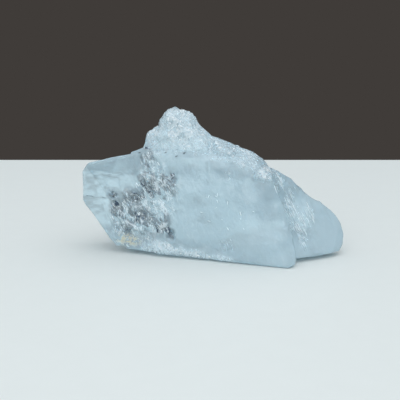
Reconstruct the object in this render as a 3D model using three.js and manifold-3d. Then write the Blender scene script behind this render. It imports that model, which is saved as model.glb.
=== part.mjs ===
// A rough aquamarine crystal: one piece of pale blue beryl, broken from a larger crystal.
// It lies on a flat break with its long axis along X. A granular peak stands left of the middle,
// a ridge runs down from it to a thin tip at +X, and a blunt butt overhangs the rest at -X.
//
// The stone is the union of six convex lumps, each the hull of its named corners. All of them
// reach round one heart point, so the whole is star-shaped about it. Shallow spherical scoops are
// then taken off, as conchoidal breaks take them off real beryl.
//
// Units are millimetres, +Z up, with the origin under the middle of the stone on the surface it
// rests on. -Y is the stone's broad front break.
import * as THREE from "three";
import { ConvexGeometry } from "three/addons/geometries/ConvexGeometry.js";
import { mergeVertices } from "three/addons/utils/BufferGeometryUtils.js";
import Module from "manifold-3d";

const HEART = [-2, 1, 9]; // inside every lump
const HEART_REACH = [5, 3, 4]; // half size of the block of stone that all lumps share
const SCOOP_DETAIL = 12; // subdivisions of the icosahedron that cuts a conchoidal break

const lumps = {
  // The main slab, from the heel at the left to the toe at the right.
  slab: {
    toe: [14.8, -12, 0],
    notchLow: [16.4, -11.2, 0.5],
    notchHigh: [16.7, -10.5, 1.5],
    breakLow: [16.4, -10.6, 3.5],
    breakMiddle: [14.7, -9, 11],
    browRight: [12.1, -7.5, 17],
    browMiddle: [5.3, -6.2, 20.4],
    ledgeMiddle: [-2.8, -2.8, 21.9],
    ledgeLeft: [-13.2, 0.5, 21.7],
    collarTop: [-14.7, 0.5, 22.5],
    collarLow: [-17, 0.2, 21.6],
    ridgeRight: [11.6, 1, 19.2],
    ridgeMiddle: [8, 1.2, 21.5],
    heel: [-18.7, -1, 1],
    baseMiddle: [-2, -6.3, 0.9],
    baseLeft: [-14, 1, 0],
    baseBackLeft: [-16, 8, 0],
    baseBack: [-2, 11, 0],
    baseBackRight: [11, 8, 0],
    baseRight: [15, -3, 0],
    backLowLeft: [-19, 11, 4],
    backLowRight: [12, 10.5, 4],
    backTopLeft: [-20, 9.5, 16],
    backTop: [-6, 12, 15],
    backTopRight: [9, 8.5, 14],
  },
  // The ridge between the peak and the tip.
  ridge: {
    saddle: [0, 1.5, 25],
    start: [1.4, 1.5, 24.2],
    left: [3.2, 1.5, 23.7],
    middle: [5.6, 1.5, 22.8],
    right: [8, 1.2, 21.5],
    front: [1.7, -4, 21.7],
    back: [6, 9.6, 14],
  },
  peak: {
    crownFront: [-9.2, 2, 30.4],
    crownRight: [-6.2, 3.5, 30.5],
    crownLeft: [-10.5, 4.5, 29.5],
    crownBack: [-7.9, 6.5, 30.3],
    knob: [-11.3, 3.5, 28.1],
    slopeTop: [-5.3, 3, 30],
    slopeMiddle: [-3.2, 3, 28],
    slopeFoot: [0, 1.5, 25],
    footLeft: [-13.2, 0.5, 21.9],
    footRight: [-1.7, -2.6, 21.9],
    backFootLeft: [-15, 10.5, 15.6],
    backFootRight: [2, 11, 14.6],
  },
  shoulder: {
    low: [-14.6, 0.5, 22.5],
    middle: [-14, 1.5, 24.9],
    top: [-13.2, 2.5, 26.3],
    joint: [-11.3, 3, 27.3],
    backLow: [-15, 8.5, 18],
    backTop: [-12, 7.5, 23],
  },
  tip: {
    nose: [28, 0.5, 4],
    noseLow: [27.7, -0.5, 2],
    chin: [26.8, -2, 0.9],
    chinFront: [24.8, -4, 0.9],
    keel: [20.9, -6, 0.9],
    keelLeft: [17.1, -8, 0.9],
    noseTop: [27.4, 1, 6.3],
    brow: [26.3, 1.5, 8],
    browTop: [24.6, 1.5, 9.7],
    roof: [19.9, 1, 12.7],
    roofMiddle: [16.1, 0.5, 16.4],
    roofTop: [12, 0, 19],
    baseBack: [22, 5, 0.6],
    backLow: [20, 8, 3],
    backTop: [18, 6.5, 9],
  },
  butt: {
    topLeft: [-26.2, 1, 19.1],
    cheek: [-27.8, 3, 17],
    cheekLow: [-28, 3, 10.9],
    jaw: [-27.5, 3, 9.7],
    topMiddle: [-18.9, -0.2, 20.8],
    topRight: [-14.6, -0.5, 21.8],
    under: [-23.4, 1.5, 5.3],
    heelHigh: [-21.8, 0.2, 3.2],
    heel: [-20.5, -0.4, 1.3],
    backTop: [-25, 10, 16.5],
    backMiddle: [-27, 10, 11],
    backLow: [-23, 10, 4.5],
  },
};

// Conchoidal breaks: a ball of this radius is taken off so that its lowest point is at deepest,
// and out points from there to the ball's centre.
const scoops = {
  roof: { deepest: [19.4, 1, 12.9], out: [0.62, -0.1, 0.78], radius: 14 },
  undercut: { deepest: [-24.6, 1.6, 6.2], out: [-0.8, -0.2, -0.56], radius: 16 },
  notch: { deepest: [-11.9, 3, 27.1], out: [-0.85, -0.1, 0.5], radius: 2.4 },
  buttTop: { deepest: [-19.5, -0.4, 20.6], out: [0, -0.75, 0.66], radius: 9 },
  backLeft: { deepest: [-16.5, 7.6, 18], out: [-0.35, 0.7, 0.6], radius: 9 },
  backRight: { deepest: [12.5, 6.2, 13], out: [0.35, 0.75, 0.55], radius: 10 },
  backLow: { deepest: [1, 10.4, 5], out: [0.1, 1, -0.25], radius: 12 },
};

const wasm = await Module();
wasm.setup();

function solidOf(geometry) {
  const bare = geometry.clone();
  bare.deleteAttribute("normal");
  bare.deleteAttribute("uv");
  const merged = mergeVertices(bare, 1e-4);
  return new wasm.Manifold(
    new wasm.Mesh({
      numProp: 3,
      vertProperties: merged.attributes.position.array,
      triVerts: new Uint32Array(merged.index.array),
    }),
  );
}

// The eight corners of the block round the heart that every lump holds.
function heartCorners() {
  const corners = [];
  for (const x of [-1, 1])
    for (const y of [-1, 1])
      for (const z of [-1, 1])
        corners.push(
          new THREE.Vector3(x, y, z)
            .multiply(new THREE.Vector3(...HEART_REACH))
            .add(new THREE.Vector3(...HEART)),
        );
  return corners;
}

function lumpSolid(corners) {
  const points = Object.values(corners).map((c) => new THREE.Vector3(...c));
  return solidOf(new ConvexGeometry([...points, ...heartCorners()]));
}

function scoopSolid({ deepest, out, radius }) {
  const centre = new THREE.Vector3(...out).setLength(radius).add(new THREE.Vector3(...deepest));
  const ball = new THREE.IcosahedronGeometry(radius, SCOOP_DETAIL);
  return solidOf(ball.translate(centre.x, centre.y, centre.z));
}

function geometryOf(solid) {
  const { vertProperties, triVerts } = solid.getMesh();
  const geometry = new THREE.BufferGeometry();
  geometry.setAttribute("position", new THREE.BufferAttribute(vertProperties, 3));
  geometry.setIndex(new THREE.BufferAttribute(triVerts, 1));
  return geometry;
}

let stone = Object.values(lumps)
  .map(lumpSolid)
  .reduce((whole, lump) => whole.add(lump));
for (const scoop of Object.values(scoops)) stone = stone.subtract(scoopSolid(scoop));

const beryl = new THREE.MeshStandardMaterial({
  color: "#a9c6d2",
  roughness: 0.3,
  metalness: 0,
});
const crystal = new THREE.Mesh(geometryOf(stone), beryl);
crystal.name = "aquamarine_crystal";

const object = new THREE.Group();
object.add(crystal);
export default object;
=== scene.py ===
"""A rough aquamarine crystal on a pale floor, in soft studio light."""
import functools
import math

import bpy
import numpy as np
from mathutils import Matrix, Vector


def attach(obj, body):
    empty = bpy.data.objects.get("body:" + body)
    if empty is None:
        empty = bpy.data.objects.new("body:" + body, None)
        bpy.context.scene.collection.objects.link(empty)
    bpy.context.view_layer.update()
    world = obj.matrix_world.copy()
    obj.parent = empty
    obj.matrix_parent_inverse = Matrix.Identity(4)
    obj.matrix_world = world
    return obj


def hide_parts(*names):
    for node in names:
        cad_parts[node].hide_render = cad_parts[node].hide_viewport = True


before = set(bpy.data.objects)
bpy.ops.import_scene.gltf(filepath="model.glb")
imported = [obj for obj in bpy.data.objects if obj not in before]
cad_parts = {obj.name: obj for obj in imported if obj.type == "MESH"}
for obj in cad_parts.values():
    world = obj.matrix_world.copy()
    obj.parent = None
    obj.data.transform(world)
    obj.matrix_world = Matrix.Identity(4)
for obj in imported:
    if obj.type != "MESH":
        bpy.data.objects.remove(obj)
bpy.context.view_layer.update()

MM = 0.001
AROUND, ALONG = 300, 315  # rays round the stone, and from end to end
SPINE = np.array([[-19.0, 4.8, 11.0], [-2.0, 2.5, 10.5], [19.5, -0.2, 6.0]])  # mm, inside the stone
SHELL_HALF = np.array([28.0, 12.0, 15.0])  # mm, an egg about the spine that aims the rays
SPINE_REACH = 0.68  # how much of the egg's length the starts of the rays take up
BATCHES = 24  # the rays are followed in this many lots, to save memory
MISSED = 10.0  # mm that a ray goes if it finds no way out
CROWDED = math.radians(150)  # the side the rays crowd towards: up and to the front
CROWDING = 0.3  # how strongly they crowd
FRONT_END, FRONT_FADE = 4.5, 2.0  # mm, the y where the front's breaks end, and their fade
BACK_FROM, BACK_FADE = 4.0, 3.0  # mm, the y where the back's breaks begin, and their growth
BLUNT_END = -15.0  # mm, the x to the left of which the blunt end lies
FLAT_CORNER = (-22.9, 13.3)  # mm, x and z of the low corner of the three-cornered flat
LEFT_EDGE_OUT = (-0.82, -0.57)  # x and z of the way out past the flat's left edge
RIGHT_EDGE_OUT = (0.92, -0.4)  # and past its right edge
DOWN_STREAK = np.array([0.36, -0.15, -0.92])  # the way the breaks run on the right
DOWN_CHIP = np.array([0.55, 0.0, -0.83])  # the way the chips run on the left
STRONG = 0.45  # a zone counts as there above this
LOWEST = 0.8  # mm above the underside that nothing is sealed below
LIP = 0.14  # how alike two bowls are on the lip between them, in squared widths
RAGGED = 0.6  # mm that the edges of most zones wander
EVEN_EDGED = ("clear", "milky", "stain")  # the zones whose edges don't

# Where each kind of break lies on the front: x and z of its middle and its reach, in mm.
BLOTS = {
    "dark": [  # cracks full of air, their dark and bright gleam painted reflection
        (-13.6, 19.8, 1.5, 2.2), (-13.4, 15.6, 2.2, 2.6), (-9.6, 15.8, 1.5, 2.0),
        (-17.0, 12.0, 2.0, 1.9), (-20.5, 9.6, 1.5, 1.9), (-15.4, 8.6, 2.8, 1.8),
        (-18.2, 5.2, 1.5, 2.0), (-20.9, 12.4, 1.0, 0.8), (-10.9, 7.0, 1.7, 1.7),
        (-9.0, 5.2, 1.2, 1.2),
    ],
    "shattered": [  # glassy chips
        (-12, 13.5, 4.6, 6.5), (-15.5, 7.5, 5.6, 4.2), (-19.5, 7.5, 3.0, 4.4),
    ],
    "snow": [  # crushed white
        (-6.5, 26.2, 1.9, 1.8), (-9.8, 25.0, 2.0, 1.2), (-12.2, 24.4, 1.3, 1.4),
        (-4.6, 27.8, 1.2, 1.0), (-9.0, 29.0, 2.4, 1.2), (-12.4, 22.1, 2.8, 0.5),
        (-0.5, 24.0, 1.8, 0.8), (4.0, 22.6, 2.0, 0.7), (3.0, 18.4, 0.5, 1.5), (7.4, 20.2, 2.0, 1.4),
        (10.6, 18.2, 1.8, 0.8), (13.8, 15.9, 0.8, 1.3), (-9.6, 1.7, 3.4, 0.9),
        (-3.4, 1.0, 3.2, 0.7), (2.4, 3.2, 1.8, 0.9), (-14.2, 2.6, 1.6, 1.8),
    ],
    "streak": [  # long narrow breaks with white in them
        (13.4, 15.4, 1.5, 1.6), (16.0, 11.5, 1.2, 2.6), (17.3, 8.0, 1.4, 3.0),
        (18.4, 4.4, 0.9, 2.4), (20.0, 8.4, 1.2, 2.0),
    ],
    "ribbed": [  # the same breaks, faint and clear
        (17.5, 14.6, 3.0, 2.0), (21.5, 12.0, 3.0, 2.4), (25.0, 8.5, 2.0, 3.0),
    ],
    "hem": [  # the grainy lower edge, whitened as painted bounce light from the floor
        (-11, 1.9, 3.6, 1.5), (-5, 1.4, 4.2, 1.2), (1.0, 0.8, 3.4, 0.9),
    ],
    "ridge": [  # the frosted crest right of the peak
        (-1, 23.5, 4.5, 2.6), (5, 21.8, 4.5, 1.9), (11, 18.4, 3.5, 2.0),
    ],
    "clear": [  # clean glassy flats
        (-24, 15, 6.5, 7), (-25, 10, 5, 4), (25, 5, 3.6, 5), (-13.9, 24.0, 0.9, 1.9),
    ],
    "milky": [  # cloudy stone
        (-22, 12, 7, 9), (25, 5, 5, 6), (-2, 23.2, 6, 2.6), (6, 20.5, 5, 2.2),
        (14.5, 1.5, 6, 3.2), (9, 5.5, 6, 4), (20, 10, 4, 4), (0, 20.5, 7, 1.6),
    ],
    "threads": [  # growth tubes
        (-4.2, 8.5, 0.7, 4.5), (8.7, 14.2, 0.4, 2.2), (3.4, 4.2, 2.8, 1.6), (-1.6, 20.8, 1.1, 1.2),
        (1.5, 16.0, 2.2, 1.6), (13.4, 10.5, 0.8, 2.0), (3, 10.5, 6.5, 4.5),
    ],
    "stain": [(-18.0, 3.0, 2.6, 1.3)],  # rust
}
# The zones that the stone's material reads.
SHOWN = ("sugar", "clustered", "shattered", "snow", "streak", "lips", "clear", "milky", "stain")


# ---------------------------------------------------------------- shapes
def noise(points, size, seed):
    """Smooth value noise, -1 to 1: random values on a cubic lattice of that spacing, blended
    across each cell by the smoothstep of the fraction along every axis."""
    values = np.random.default_rng(seed).uniform(-1, 1, (32, 32, 32))
    cell = np.floor(points / size).astype(int)
    part = points / size - cell
    part = part * part * (3 - 2 * part)
    total = np.zeros(len(points))
    for corner in np.ndindex(2, 2, 2):
        weight = np.prod(np.where(corner, part, 1 - part), axis=1)
        i, j, k = ((cell + corner) % 32).T
        total += weight * values[i, j, k]
    return total


def near(points, middle, reach):
    """A soft blot: 1 at the middle, falling to 0 past the reach along each axis."""
    far = np.sum(((points - middle) / reach) ** 2, axis=1)
    return np.exp(-far * far)


def rays():
    """Where each ray starts on the spine and which way it goes. One pole, then rings from +X to
    -X, then the other pole: a ring starts from one point of the spine and fans out to a ring of
    an egg about it. Round a ring the steps crowd towards the front."""
    turn = np.arange(AROUND) / AROUND * 2 * math.pi
    turn = turn - CROWDING * np.sin(turn - CROWDED)
    fall = (np.arange(ALONG) + 0.5) / ALONG * math.pi
    turn, fall = np.meshgrid(turn, fall)
    rings = [np.cos(fall), np.sin(fall) * np.cos(turn), np.sin(fall) * np.sin(turn)]
    rings = np.stack(rings, axis=-1).reshape(-1, 3)
    shell = np.vstack([[[1, 0, 0]], rings, [[-1, 0, 0]]]) * SHELL_HALF
    start = shell[:, :1] * [SPINE_REACH, 0, 0]
    start[:, 1] = np.interp(start[:, 0], SPINE[:, 0], SPINE[:, 1])
    start[:, 2] = np.interp(start[:, 0], SPINE[:, 0], SPINE[:, 2])
    way = shell - start * [1, 0, 0]
    return start, way / np.linalg.norm(way, axis=1, keepdims=True)


def ray_faces():
    """Quads between neighbouring rings, and a fan of triangles at each pole."""
    ring = np.arange(ALONG - 1)[:, None] * AROUND + 1
    here, beside = np.arange(AROUND), (np.arange(AROUND) + 1) % AROUND
    quads = [ring + here + AROUND, ring + beside + AROUND, ring + beside, ring + here]
    last = 1 + (ALONG - 1) * AROUND
    start = np.stack([1 + here, 1 + beside, np.zeros(AROUND, int)], axis=-1)
    end = np.stack([last + beside, last + here, np.full(AROUND, last + AROUND)], axis=-1)
    return np.stack(quads, axis=-1).reshape(-1, 4).tolist() + np.vstack([start, end]).tolist()


def facets_of(node):
    """The corners of a CAD node's triangles in mm."""
    mesh = node.data
    mesh.calc_loop_triangles()
    places = np.empty(len(mesh.vertices) * 3)
    mesh.vertices.foreach_get("co", places)
    corners = np.empty(len(mesh.loop_triangles) * 3, dtype=np.int32)
    mesh.loop_triangles.foreach_get("vertices", corners)
    return places.reshape(-1, 3)[corners].reshape(-1, 3, 3) / MM


def exits(facets, start, way):
    """Where each ray first leaves the solid. A ray from s along w passes the edge from b to c on
    its inner side when w . (b x c) + (s x w) . (c - b) is above nothing. Passing all three, it
    leaves through the facet at (a - s) . n / (w . n), n being the facet's outward normal."""
    a, b, c = facets[:, 0], facets[:, 1], facets[:, 2]
    normal = np.cross(b - a, c - a)
    edges = [np.hstack([np.cross(p, q), q - p]) for p, q in ((b, c), (c, a), (a, b))]
    line = np.hstack([way, np.cross(start, way)])
    found = []
    for begin, go, both in zip(*(np.array_split(x, BATCHES) for x in (start, way, line))):
        inner = np.minimum.reduce([both @ edge.T for edge in edges])
        facing = go @ normal.T
        hit = (inner > -1e-7) & (facing > 1e-9)
        length = (np.sum(a * normal, axis=1) - begin @ normal.T) / np.where(hit, facing, 1)
        found.append(np.where(hit & (length > 0), length, np.inf).min(axis=1))
    found = np.concatenate(found)
    return start + way * np.where(np.isfinite(found), found, MISSED)[:, None]


def evened(places, times):
    """Each place moved to the mean of itself, twice, and its four neighbours, that many times."""
    rings = places[1:-1].reshape(ALONG, AROUND, 3)
    for _ in range(times):
        sides = np.roll(rings, 1, 1) + np.roll(rings, -1, 1)
        ends = np.concatenate([rings[:1], rings[:-1]]) + np.concatenate([rings[1:], rings[-1:]])
        rings = (rings * 2 + sides + ends) / 6
    return np.vstack([rings[0].mean(axis=0), rings.reshape(-1, 3), rings[-1].mean(axis=0)])


def outward(places):
    """The way out of the surface at each place, from the steps to its neighbours."""
    rings = evened(places, 3)[1:-1].reshape(ALONG, AROUND, 3)
    round_step = np.roll(rings, -1, 1) - np.roll(rings, 1, 1)
    along_step = np.gradient(rings, axis=0)
    way = np.cross(along_step, round_step).reshape(-1, 3)
    way = np.vstack([[[1, 0, 0]], way, [[-1, 0, 0]]])
    return way / np.maximum(np.linalg.norm(way, axis=1, keepdims=True), 1e-9)


def bowls(points, size, deep, seed, along=(0, 0, 1), stretch=1.0, uneven=0.3):
    """Shell-shaped breaks, deep mm from their lips down. Space is cut into cubes of that size,
    drawn out along a line, and each holds one middle at a random place. Round a middle lies a
    paraboloid bowl, and the deepest bowl wins. Gives the depth, and how near the place is to a
    lip, where the two deepest bowls are alike. Uneven is how much deeper some middles start."""
    rng = np.random.default_rng(seed)
    spots = rng.uniform(0, 1, (32, 32, 32, 3))
    starts = rng.uniform(-uneven, uneven, (32, 32, 32))
    line = np.array(along) / np.linalg.norm(along)
    squeezed = points @ (np.eye(3) - np.outer(line, line) * (1 - 1 / stretch)) / size
    cell = np.floor(squeezed).astype(int)
    best, second = np.full((2, len(points)), -9.0)
    for step in np.ndindex(3, 3, 3):
        cube = cell + step - 1
        i, j, k = (cube % 32).T
        gap = squeezed - cube - spots[i, j, k]
        level = starts[i, j, k] - np.sum(gap * gap, axis=1)
        second = np.maximum(second, np.minimum(best, level))
        best = np.maximum(best, level)
    return deep * 2 * best, np.exp(-(((best - second) / LIP) ** 2))


def chips(points):
    """Glassy chips a few mm across, with smaller ones in them."""
    big, big_lips = bowls(points, 2.4, 0.9, 11, DOWN_CHIP, stretch=1.7, uneven=0.5)
    small, small_lips = bowls(points, 1.1, 0.25, 12, DOWN_CHIP, stretch=2.0)
    return big + small, np.maximum(big_lips, 0.8 * small_lips)


def grains(points):
    """The lumpy grain of sugary breaks, in two sizes."""
    big, big_lips = bowls(points, 2.2, 0.5, 21, uneven=0.5)
    small, small_lips = bowls(points, 1.0, 0.2, 22)
    return big + small, np.maximum(big_lips, 0.7 * small_lips)


def hackles(points):
    """Long narrow bowls side by side, with faint lips."""
    long, lips = bowls(points, 1.3, 0.6, 31, DOWN_STREAK, stretch=6)
    return long, 0.15 * lips


def swells(points):
    """Broad shallow bowls with a slight ripple and no lips."""
    broad, lips = bowls(points, 7.0, 0.3, 41)
    return broad + 0.06 * noise(points, 1.8, 42) + 0.03 * noise(points, 0.8, 43), 0 * lips


def from_edges(points):
    """How far in mm each place lies outside the two slanting edges of the three-cornered flat
    on the blunt end, which meet at its low corner: past the left one, and past the right one."""
    across, up = points[:, 0] - FLAT_CORNER[0], points[:, 2] - FLAT_CORNER[1]
    return tuple(x * across + z * up for x, z in (LEFT_EDGE_OUT, RIGHT_EDGE_OUT))


def flats(points):
    """Cleaved steps: the surface falls away one in ten from both edges of the flat."""
    left, right = from_edges(points)
    return 0.1 * np.maximum.reduce([left, right, 0 * left]), 0 * left


def zones_at(points):
    """How strongly each kind of break shows at each place, 0 to 1. The flat on the blunt end gets
    painted shade of its facets: clearer, so darker, inside, and cloudier, so lighter, past its left
    edge; a slope of 4 per mm softens both."""
    front = np.clip((FRONT_END - points[:, 1]) / FRONT_FADE, 0, 1)
    wander = RAGGED * np.stack([noise(points, 1.6, seed) for seed in (51, 52)], axis=-1)
    zones = {}
    for key, blots in BLOTS.items():
        seen = points[:, (0, 2)] + wander * (key not in EVEN_EDGED)
        zones[key] = front * np.maximum.reduce([near(seen, b[:2], b[2:]) for b in blots])
    peak = near(points, (-8, 3, 27.5), (7, 8, 7))
    left, right = from_edges(points)
    # Painted facet shade on the flat: less milky inside it, more milky past its left edge.
    painted_flat_shade = zones["clear"] * (points[:, 0] < BLUNT_END)
    painted_flat_shade *= np.clip(0.5 - 4 * np.maximum(left, right), 0, 1) - 0.5 * np.clip(0.5 + 4 * left, 0, 1)
    zones["shattered"] = np.maximum(zones["dark"], zones["shattered"])
    # The lower edge's whitening through sugar and milky is painted bounce light; its grain is
    # relief.
    zones["sugar"] = np.maximum.reduce([peak, 0.5 * zones["ridge"], 0.7 * zones["hem"]])
    zones["clustered"] = zones["sugar"] * np.clip(0.5 + 2.5 * noise(points, 2.6, 53), 0, 1)
    zones["milky"] = np.maximum.reduce([peak, zones["hem"], 0.8 * zones["milky"]]) - 0.65 * painted_flat_shade
    return zones


def stone_skin(node):
    """The CAD stone's surface with its breaks cut in: places, the way out, zones. Each kind of
    break is cut about its own mean depth, by its zone's strength. The sum stands 0.5 mm proud at
    most and fades out over the lowest 1.3 mm, so that the underside stays flat."""
    points = evened(exits(facets_of(node), *rays()), 1)
    out = outward(points)
    zones = zones_at(points)
    back = np.clip((points[:, 1] - BACK_FROM) / BACK_FADE, 0, 1)
    blunt = zones["clear"] * (points[:, 0] < BLUNT_END)
    depth, lips = np.zeros((2, len(points)))
    for share, make in (
        (1 - 0.8 * zones["clear"], swells),
        (blunt, flats),
        (zones["shattered"], chips),
        (np.maximum(zones["sugar"], 0.5 * back), grains),
        (np.maximum(zones["streak"], 0.3 * zones["ribbed"]), hackles),
    ):
        inside = share > 0.02
        cut, edge = make(points[inside])
        depth[inside] += (cut - cut.mean()) * share[inside]
        lips[inside] = np.maximum(lips[inside], edge * share[inside])
    depth = np.clip(depth, -0.5, 2.0) * np.clip((points[:, 2] - 0.1) / 1.2, 0, 1)
    places = points - out * depth[:, None]
    places[:, 2] = np.maximum(places[:, 2], 0)
    zones["lips"] = lips * (1 - 0.85 * back)
    return places, out, zones


def lenses(middles, facing, sizes, rng, along, stretch, thin, around=8, over=3):
    """Thin closed lenses, stretch times as long in the direction along as across it. From the
    middle of one face, over the rim, to the middle of the other, the radius follows the root of
    the sine of the fall and the height its cosine. The outline wobbles by up to 0.3 of the radius
    and the lens is dished by a tenth of it."""
    long_way = along - facing * np.sum(facing * along, axis=1, keepdims=True)
    long_way /= np.linalg.norm(long_way, axis=1, keepdims=True)
    cross_way = np.cross(facing, long_way)
    turn = np.arange(around) / around * 2 * math.pi
    fall = (np.arange(over) + 0.5) / over * math.pi
    count = len(middles)
    radius = sizes[:, None, None] * np.sqrt(np.sin(fall))[:, None]
    radius = radius * (1 + 0.3 * rng.uniform(-1, 1, (count, 1, around)))
    lift = thin * np.cos(fall)[:, None] + 0.1 * radius**2 / sizes[:, None, None]
    places = middles[:, None, None] + lift[..., None] * facing[:, None, None]
    places = places + (stretch * radius * np.cos(turn))[..., None] * long_way[:, None, None]
    places = places + (radius * np.sin(turn))[..., None] * cross_way[:, None, None]
    poles = middles[:, None] + np.array([1, -1])[:, None] * thin * facing[:, None]
    places = np.concatenate([places.reshape(count, -1, 3), poles], axis=1)
    here, beside = np.arange(around), (np.arange(around) + 1) % around
    ring = np.arange(over - 1)[:, None] * around
    quads = np.stack([ring + here, ring + here + around, ring + beside + around, ring + beside], -1)
    last, low = over * around, (over - 1) * around
    top = np.stack([np.full(around, last), here, beside], -1)
    bottom = np.stack([np.full(around, last + 1), low + beside, low + here], -1)
    shift = (np.arange(count) * (last + 2))[:, None, None]
    faces = (quads.reshape(1, -1, 4) + shift).reshape(-1, 4).tolist()
    faces += (np.concatenate([top, bottom]) + shift).reshape(-1, 3).tolist()
    return places.reshape(-1, 3), faces


def split_sheet(line, inward, deep, thin, around=10):
    """A thin closed sheet that starts on a line in the skin and goes inward. Its section is a
    flat ellipse, deep mm by twice thin, carried along the line; it slims to a point at each end
    by the root of the sine."""
    turn = np.arange(around) / around * 2 * math.pi
    slim = np.sqrt(np.sin(np.linspace(0, math.pi, len(line) + 2)[1:-1]))[:, None, None]
    into = slim * ((1 - np.cos(turn)) / 2 * deep)[:, None] * inward
    lift = slim * (np.sin(turn) * thin)[:, None] * [0, 0, 1]
    rings = line[:, None] + into + lift
    places = np.vstack([rings[0].mean(axis=0), rings.reshape(-1, 3), rings[-1].mean(axis=0)])
    here, beside = np.arange(around), (np.arange(around) + 1) % around
    ring = 1 + np.arange(len(line) - 1)[:, None] * around
    quads = np.stack([ring + here, ring + here + around, ring + beside + around, ring + beside], -1)
    last = 1 + (len(line) - 1) * around
    start = np.stack([np.zeros(around, int), 1 + here, 1 + beside], -1)
    end = np.stack([np.full(around, last + around), last + beside, last + here], -1)
    return places, quads.reshape(-1, 4).tolist() + np.concatenate([start, end]).tolist()


# ---------------------------------------------------------------- materials
RGBA = {"out": 2, "data_type": "RGBA"}  # a Mix node's colours: sockets 6 and 7 in, 2 out


def colour(code):
    """A linear colour from an sRGB hex code."""
    parts = [int(code[i : i + 2], 16) / 255 for i in (1, 3, 5)]
    return tuple(c / 12.92 if c <= 0.04045 else ((c + 0.055) / 1.055) ** 2.4 for c in parts) + (1,)


def add_node(tree, kind, inputs=None, out=0, **settings):
    """Adds a shader node and gives one of its outputs. Inputs are values or other outputs."""
    node = tree.nodes.new("ShaderNode" + kind)
    for key, value in settings.items():
        setattr(node, key, value)
    for key, value in (inputs or {}).items():
        if isinstance(value, bpy.types.NodeSocket):
            tree.links.new(value, node.inputs[key])
        else:
            node.inputs[key].default_value = value
    return node.outputs[out]


def new_material(name, **values):
    """A material of one Principled shader with plain values, and what adds nodes to it."""
    material = bpy.data.materials.new(name)
    material.use_nodes = True
    tree = material.node_tree
    skin = tree.nodes["Principled BSDF"]
    for key, value in values.items():
        skin.inputs[key.replace("_", " ")].default_value = value
    return material, tree, skin, functools.partial(add_node, tree)


def streaks(add, size, stretch=1.0, rough=0.6, lean=0.35):
    """Noise of that size in mm, drawn out stretch times along a line that leans from upright."""
    place = add("TexCoord", out="Object")
    turned = add("Mapping", {"Vector": place, "Rotation": (0, lean, 0)})
    drawn = add("Mapping", {"Vector": turned, "Scale": (1, 1, 1 / stretch)})
    scale = 1 / (size * MM)
    return add("TexNoise", {"Vector": drawn, "Scale": scale, "Detail": 3.0, "Roughness": rough})


def mottled(name, dark, light, size, **values):
    """A plain material whose colour wanders between two in patches of that size in mm."""
    material, tree, skin, add = new_material(name, **values)
    tone = add("Mix", {0: streaks(add, size), 6: colour(dark), 7: colour(light)}, **RGBA)
    tree.links.new(tone, skin.inputs["Base Color"])
    return material


def crushed_parts(add, zone):
    """Where the beryl is crushed to white powder, 0 to 1. Real powder is finer than 0.1 mm, so
    it is drawn in flecks of 0.5 to 0.8 mm, as coarse as it needs to show."""
    fine = {"Value": streaks(add, 0.6, 1.8, 0.65), "From Min": 0.51, "From Max": 0.68}
    coarse = {"Value": streaks(add, 0.8, 2.2, 0.7), "From Min": 0.45, "From Max": 0.6}
    dashes = {"Value": streaks(add, 0.5, 9.0), "From Min": 0.54, "From Max": 0.62}
    fine, coarse, dashes = (add("MapRange", values) for values in (fine, coarse, dashes))
    place = add("TexCoord", out="Object")
    cells = add("TexVoronoi", {"Vector": place, "Scale": 1 / (0.6 * MM)}, out="Color")
    flecks = {"Value": cells, "From Min": 0.45, "From Max": 0.65, "To Max": 0.75}
    flecks = add("MapRange", flecks)
    hazy = add("Math", {0: zone["sugar"], 1: 0.4, 2: 0.08}, operation="MULTIPLY_ADD")
    crushed = add("Math", {0: fine, 1: hazy}, operation="MULTIPLY")
    frosted = add("Math", {0: coarse, 1: flecks}, operation="MULTIPLY")
    broken = add("Math", {0: coarse, 1: dashes}, operation="MAXIMUM")
    patterns = {"clustered": flecks, "snow": frosted, "streak": dashes, "lips": broken}
    for key, pattern in patterns.items():
        both = add("Math", {0: zone[key], 1: pattern}, operation="MULTIPLY")
        crushed = add("Math", {0: crushed, 1: both}, operation="MAXIMUM")
    return crushed


def grainy_height(add, sugar):
    """The relief of the fine grain: 0.6 mm noise, with rounded grains 0.7 mm apart where it is
    sugary. Real grains are a third of that and would not show."""
    place = add("TexCoord", out="Object")
    humps = add("TexVoronoi", {"Vector": place, "Scale": 1 / (0.7 * MM)}, out="Distance")
    gentle = add("Math", {0: sugar, 1: 0.45}, operation="MULTIPLY")
    grain = {0: humps, 1: gentle, 2: streaks(add, 0.6, 1.5)}
    return add("Math", grain, operation="MULTIPLY_ADD")


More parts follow.
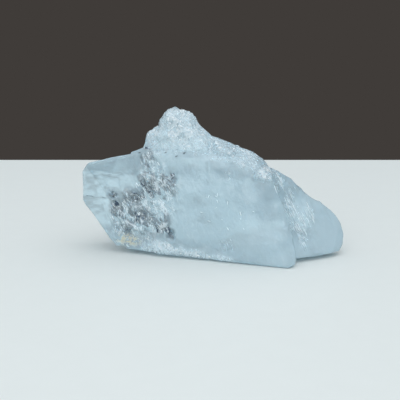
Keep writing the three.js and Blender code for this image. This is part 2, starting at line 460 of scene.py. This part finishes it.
def broken_beryl():
    """Pale blue beryl, naturally broken. It is glassy and clear on clean breaks, cloudy where it
    is full of fine tubes, frosted where the break is fine-grained, and crushed to white on the
    lips of chips and on sugary patches. The blue deepens with the light's way through it."""
    material, tree, skin, add = new_material("broken_beryl", IOR=1.577)
    zone = {key: add("Attribute", out="Fac", attribute_name=key) for key in SHOWN}
    crushed = crushed_parts(add, zone)
    rusty = {"Value": streaks(add, 0.8), "From Min": 0.45, "From Max": 0.54}
    rust = add("Math", {0: zone["stain"], 1: add("MapRange", rusty)}, operation="MULTIPLY")
    tint = add("Mix", {0: crushed, 6: colour("#dbf1fa"), 7: colour("#f0faff")}, **RGBA)
    tint = add("Mix", {0: rust, 6: tint, 7: colour("#e5e0c6")}, **RGBA)
    tree.links.new(tint, skin.inputs["Base Color"])
    crushed = add("Math", {0: crushed, 1: rust}, operation="MAXIMUM")
    # Milkiness also carries painted light: a whiter lower edge, and painted shade on the blunt
    # end's flat.
    clarity = add("MapRange", {"Value": zone["milky"], "To Min": 0.66, "To Max": 0.46})
    clarity = add("MapRange", {"Value": zone["shattered"], "To Min": clarity, "To Max": 0.77})
    clarity = add("MapRange", {"Value": crushed, "To Min": clarity, "To Max": 0.25})
    tree.links.new(clarity, skin.inputs["Transmission Weight"])
    glassy = add("Math", {0: zone["clear"], 1: zone["shattered"]}, operation="MAXIMUM")
    smooth = add("MapRange", {"Value": glassy, "To Min": 0.22, "To Max": 0.08})
    rough = add("MapRange", {"Value": crushed, "To Min": smooth, "To Max": 0.5})
    tree.links.new(rough, skin.inputs["Roughness"])
    patches = {"Value": streaks(add, 5.0, rough=0.5), "From Min": 0.35, "From Max": 0.65}
    patches = add("MapRange", {**patches, "To Min": 0.15, "To Max": 0.65})
    strength = add("Math", {0: patches, 1: zone["sugar"]}, operation="MAXIMUM")
    strength = add("MapRange", {"Value": glassy, "To Min": strength, "To Max": 0.06})
    height = grainy_height(add, zone["sugar"])
    grain = {"Height": height, "Distance": 0.3 * MM, "Strength": strength}
    tree.links.new(add("Bump", grain), skin.inputs["Normal"])
    body = add("VolumeAbsorption", {"Color": colour("#8fd0e6"), "Density": 11.0})
    tree.links.new(body, tree.nodes["Material Output"].inputs["Volume"])
    return material


def painted_crack_reflection():
    """Air in a natural crack: all light glances off it, so it gleams like metal. Its bright and
    dark
    steps are painted reflection: stripes of light and dark base colour. Real steps are finer than
    0.1 mm and drawn 0.35 mm wide."""
    material, tree, skin, add = new_material("crack_painted_reflection", Metallic=1.0, Roughness=0.08)
    # Painted glints and dark reflection: the base colour switches between dark and bright stripes.
    steps = {"Value": streaks(add, 0.35, 4.0, lean=0.6), "From Min": 0.5, "From Max": 0.6}
    steps = add("MapRange", steps)
    tint = add("Mix", {0: steps, 6: colour("#56677a"), 7: colour("#dfe9ef")}, **RGBA)
    tree.links.new(tint, skin.inputs["Base Color"])
    return material


def painted_crack_shade():
    """The line of a hairline crack, dark as painted shade, because light is lost in it."""
    return mottled("painted_crack_shade", "#4c5c66", "#8296a1", size=1.0, Roughness=0.5)


def cleaved_mica():
    """Flakes of dark mica, cleaved flat by nature: near black with a dull gleam."""
    return mottled("cleaved_dark_mica", "#2c353e", "#56626c", size=0.3, Roughness=0.4)


def tube_fluid():
    """Liquid and gas in natural growth tubes: near white, because they scatter all light."""
    return mottled("fluid_inclusion", "#dcecf3", "#fbfeff", size=0.5, Roughness=0.35)


def rolled_paint():
    """Matt white paint, rolled on: even, with a faint mottle from the roller's overlaps."""
    return mottled("rolled_white_paint", "#e4e8e6", "#e7ebe9", size=4.0, Roughness=0.6)


# ---------------------------------------------------------------- pieces
def mesh_object(name, places, faces, material, values=None):
    """A smooth-shaded object from places in mm and faces, with a number per place for each key
    of values."""
    mesh = bpy.data.meshes.new(name)
    mesh.from_pydata(places * MM, [], faces)
    mesh.validate()
    mesh.polygons.foreach_set("use_smooth", np.ones(len(mesh.polygons), dtype=bool))
    for key, numbers in (values or {}).items():
        mesh.attributes.new(key, "FLOAT", "POINT").data.foreach_set("value", numbers)
    mesh.materials.append(material)
    piece = bpy.data.objects.new(name, mesh)
    bpy.context.scene.collection.objects.link(piece)
    return piece


def part_of_stone(name, places, faces, material, values=None):
    """A piece that belongs to the stone and moves with it."""
    piece = mesh_object(name, places, faces, material, values)
    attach(piece, "root")
    return piece


def turned(way, count, spread, rng):
    """Unit directions, that many, scattered about a way."""
    ways = np.array(way) + spread * rng.normal(size=(count, 3))
    return ways / np.linalg.norm(ways, axis=1, keepdims=True)


places, out, zones = stone_skin(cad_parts["aquamarine_crystal"])
shown = {key: zones[key] for key in SHOWN}
stone = part_of_stone("aquamarine_stone", places, ray_faces(), broken_beryl(), shown)
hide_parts("aquamarine_crystal")
rng = np.random.default_rng(7)


def under_skin(key, count, low, high):
    """Places that many mm below the skin where a zone is strong, clear of the underside, and
    the way out there."""
    strong = (zones[key] > STRONG) & (places[:, 2] > LOWEST)
    picked = rng.choice(np.flatnonzero(strong), count, replace=False)
    return places[picked] - out[picked] * rng.uniform(low, high, (count, 1)), out[picked]


def air_cracks_painted_reflection(count=210):
    """Flakes of air up to 1.6 mm across and twice as long, most of them small, that face the front
    and lie 0.3 to 1.2 mm deep. Their dark and bright gleam is painted reflection."""
    middles, _ = under_skin("dark", count, 0.3, 1.2)
    facing = turned((0.1, -1, 0.2), count, 0.3, rng)
    sizes = 0.2 + 0.6 * rng.uniform(0, 1, count) ** 2
    along = turned(DOWN_CHIP, count, 0.25, rng)
    mesh = lenses(middles, facing, sizes, rng, along, stretch=2, thin=0.05)
    return part_of_stone("air_cracks_painted_reflection", *mesh, painted_crack_reflection())


def white_threads():
    """Growth tubes, splinters and crushed flakes in the skin. Each row gives the zone, how many,
    half the width in mm, the way they run, their scatter and how many times longer than wide."""
    corners, faces, first = [], [], 0
    for key, count, width, way, spread, stretch in (
        ("shattered", 70, 0.08, DOWN_CHIP, 0.2, 7),
        ("streak", 55, 0.08, DOWN_STREAK, 0.08, 16),
        ("snow", 100, 0.08, DOWN_STREAK, 0.5, 6),
        ("threads", 36, 0.06, DOWN_STREAK, 0.5, 6),
        ("clustered", 280, 0.14, DOWN_STREAK, 1.2, 3),
    ):
        middles, facing = under_skin(key, count, -0.03, 0.08)
        widths = width * rng.uniform(0.4, 1.4, count)
        along = turned(way, count, spread, rng)
        some, rows = lenses(middles, facing, widths, rng, along, stretch, thin=0.04)
        corners.append(some)
        faces += [[corner + first for corner in row] for row in rows]
        first += len(some)
    return part_of_stone("white_threads", np.vstack(corners), faces, tube_fluid())


def nearest(wanted):
    """The skin's place nearest to each wanted one, and the way out there."""
    gap = np.linalg.norm(places[:, None] - np.array(wanted)[None], axis=2)
    picked = np.argmin(gap, axis=0)
    return places[picked], out[picked]


def hairline_crack_shade(steps=36):
    """A dark line across the blunt end, a sheet of painted shade along a hairline crack: its height
    wanders by two sines, and it starts 0.16 mm proud of the skin and goes 0.6 mm in."""
    along = np.linspace(-27.3, -20.8, steps)
    height = 11.9 + 0.12 * np.sin(along * 2.1) + 0.06 * np.sin(along * 5.3)
    line, way = nearest(np.stack([along, 1.5 - 0.25 * (along + 24), height], axis=-1))
    line[:, (0, 2)] = np.stack([along, height], axis=-1)
    mesh = split_sheet(line + 0.16 * way, -way[:, None], deep=0.6, thin=0.08)
    return part_of_stone("hairline_crack_shade", *mesh, painted_crack_shade())


def mica_specks():
    """Four dark flakes along the ledge below the peak, half bedded in the skin."""
    wanted = [[-15.4, -0.5, 21.6], [-9.7, -1.2, 22.0], [-5.8, -2.2, 21.6], [-7.4, -1.9, 20.9]]
    spots, facing = nearest(wanted)
    sizes = np.array([0.1, 0.11, 0.16, 0.12])
    along = np.array([[1, 0, 0.1], [1, 0, 0.1], [1, 0, 0.9], [1, 0, 0.3]])
    mesh = lenses(spots, facing, sizes, rng, along, stretch=3, thin=0.08)
    return part_of_stone("mica_specks", *mesh, cleaved_mica())


air_cracks_painted_reflection()
white_threads()
hairline_crack_shade()
mica_specks()


# ---------------------------------------------------------------- stage
def soft_light(name, place, size, power, tint):
    """A square lamp that faces the stone; places and sizes in mm, power in watts."""
    light = bpy.data.lights.new(name, "AREA")
    light.shape = "SQUARE"
    light.size = size * MM
    light.energy = power
    light.color = colour(tint)[:3]
    lamp = bpy.data.objects.new(name, light)
    bpy.context.scene.collection.objects.link(lamp)
    lamp.location = Vector(place) * MM
    lamp.rotation_euler = (-Vector(place)).to_track_quat("-Z", "Y").to_euler()


def studio():
    """A dark wall behind, fading to a grey room on the other sides, and a white ceiling."""
    world = bpy.data.worlds.new("studio")
    bpy.context.scene.world = world
    world.use_nodes = True
    tree = world.node_tree
    add = functools.partial(add_node, tree)
    way = add("TexCoord", out="Generated")
    depth = add("SeparateXYZ", {0: way}, out="Y")
    height = add("SeparateXYZ", {0: way}, out="Z")
    sides = add("MapRange", {"Value": depth, "From Min": 0.75, "From Max": 0.2})
    ceiling = add("MapRange", {"Value": height, "From Min": 0.15, "From Max": 0.8})
    room = add("Mix", {0: sides, 6: colour("#403c39"), 7: colour("#c4cacd")}, **RGBA)
    room = add("Mix", {0: ceiling, 6: room, 7: colour("#e8eef2")}, **RGBA)
    tree.links.new(room, tree.nodes["Background"].inputs["Color"])


def set_camera(aim, away, pitch, lens):
    """A camera that many mm in front of the aim, raised and tilted down by the pitch."""
    data = bpy.data.cameras.new("camera")
    data.lens = lens
    data.clip_start = 0.005
    data.clip_end = 10
    camera = bpy.data.objects.new("camera", data)
    bpy.context.scene.collection.objects.link(camera)
    camera.location = (Vector(aim) + away * Vector((0, -math.cos(pitch), math.sin(pitch)))) * MM
    camera.rotation_euler = (math.pi / 2 - pitch, 0, 0)
    bpy.context.scene.camera = camera


FLOOR_HALF, FLOOR_DROP = 126.0, 0.02  # mm; the far edge of the floor meets the wall
corners = np.array([[-1, -1], [1, -1], [1, 1], [-1, 1]]) * FLOOR_HALF
corners = np.insert(corners, 2, -FLOOR_DROP, axis=1)
floor = mesh_object("floor", corners, [[0, 1, 2, 3]], rolled_paint())
soft_light("overhead", place=(40, -40, 380), size=600, power=0.44, tint="#f4f9ff")
soft_light("front", place=(-120, -420, 200), size=300, power=0.41, tint="#ffffff")
studio()
set_camera(aim=(-2.75, 0, 11.5), away=164.5, pitch=math.radians(12), lens=70)
scene = bpy.context.scene
LIGHT_BOUNCES = 16  # enough to pass through the stone, its flakes and back out
scene.view_settings.view_transform = "Standard"
scene.cycles.max_bounces = LIGHT_BOUNCES
scene.cycles.transmission_bounces = LIGHT_BOUNCES
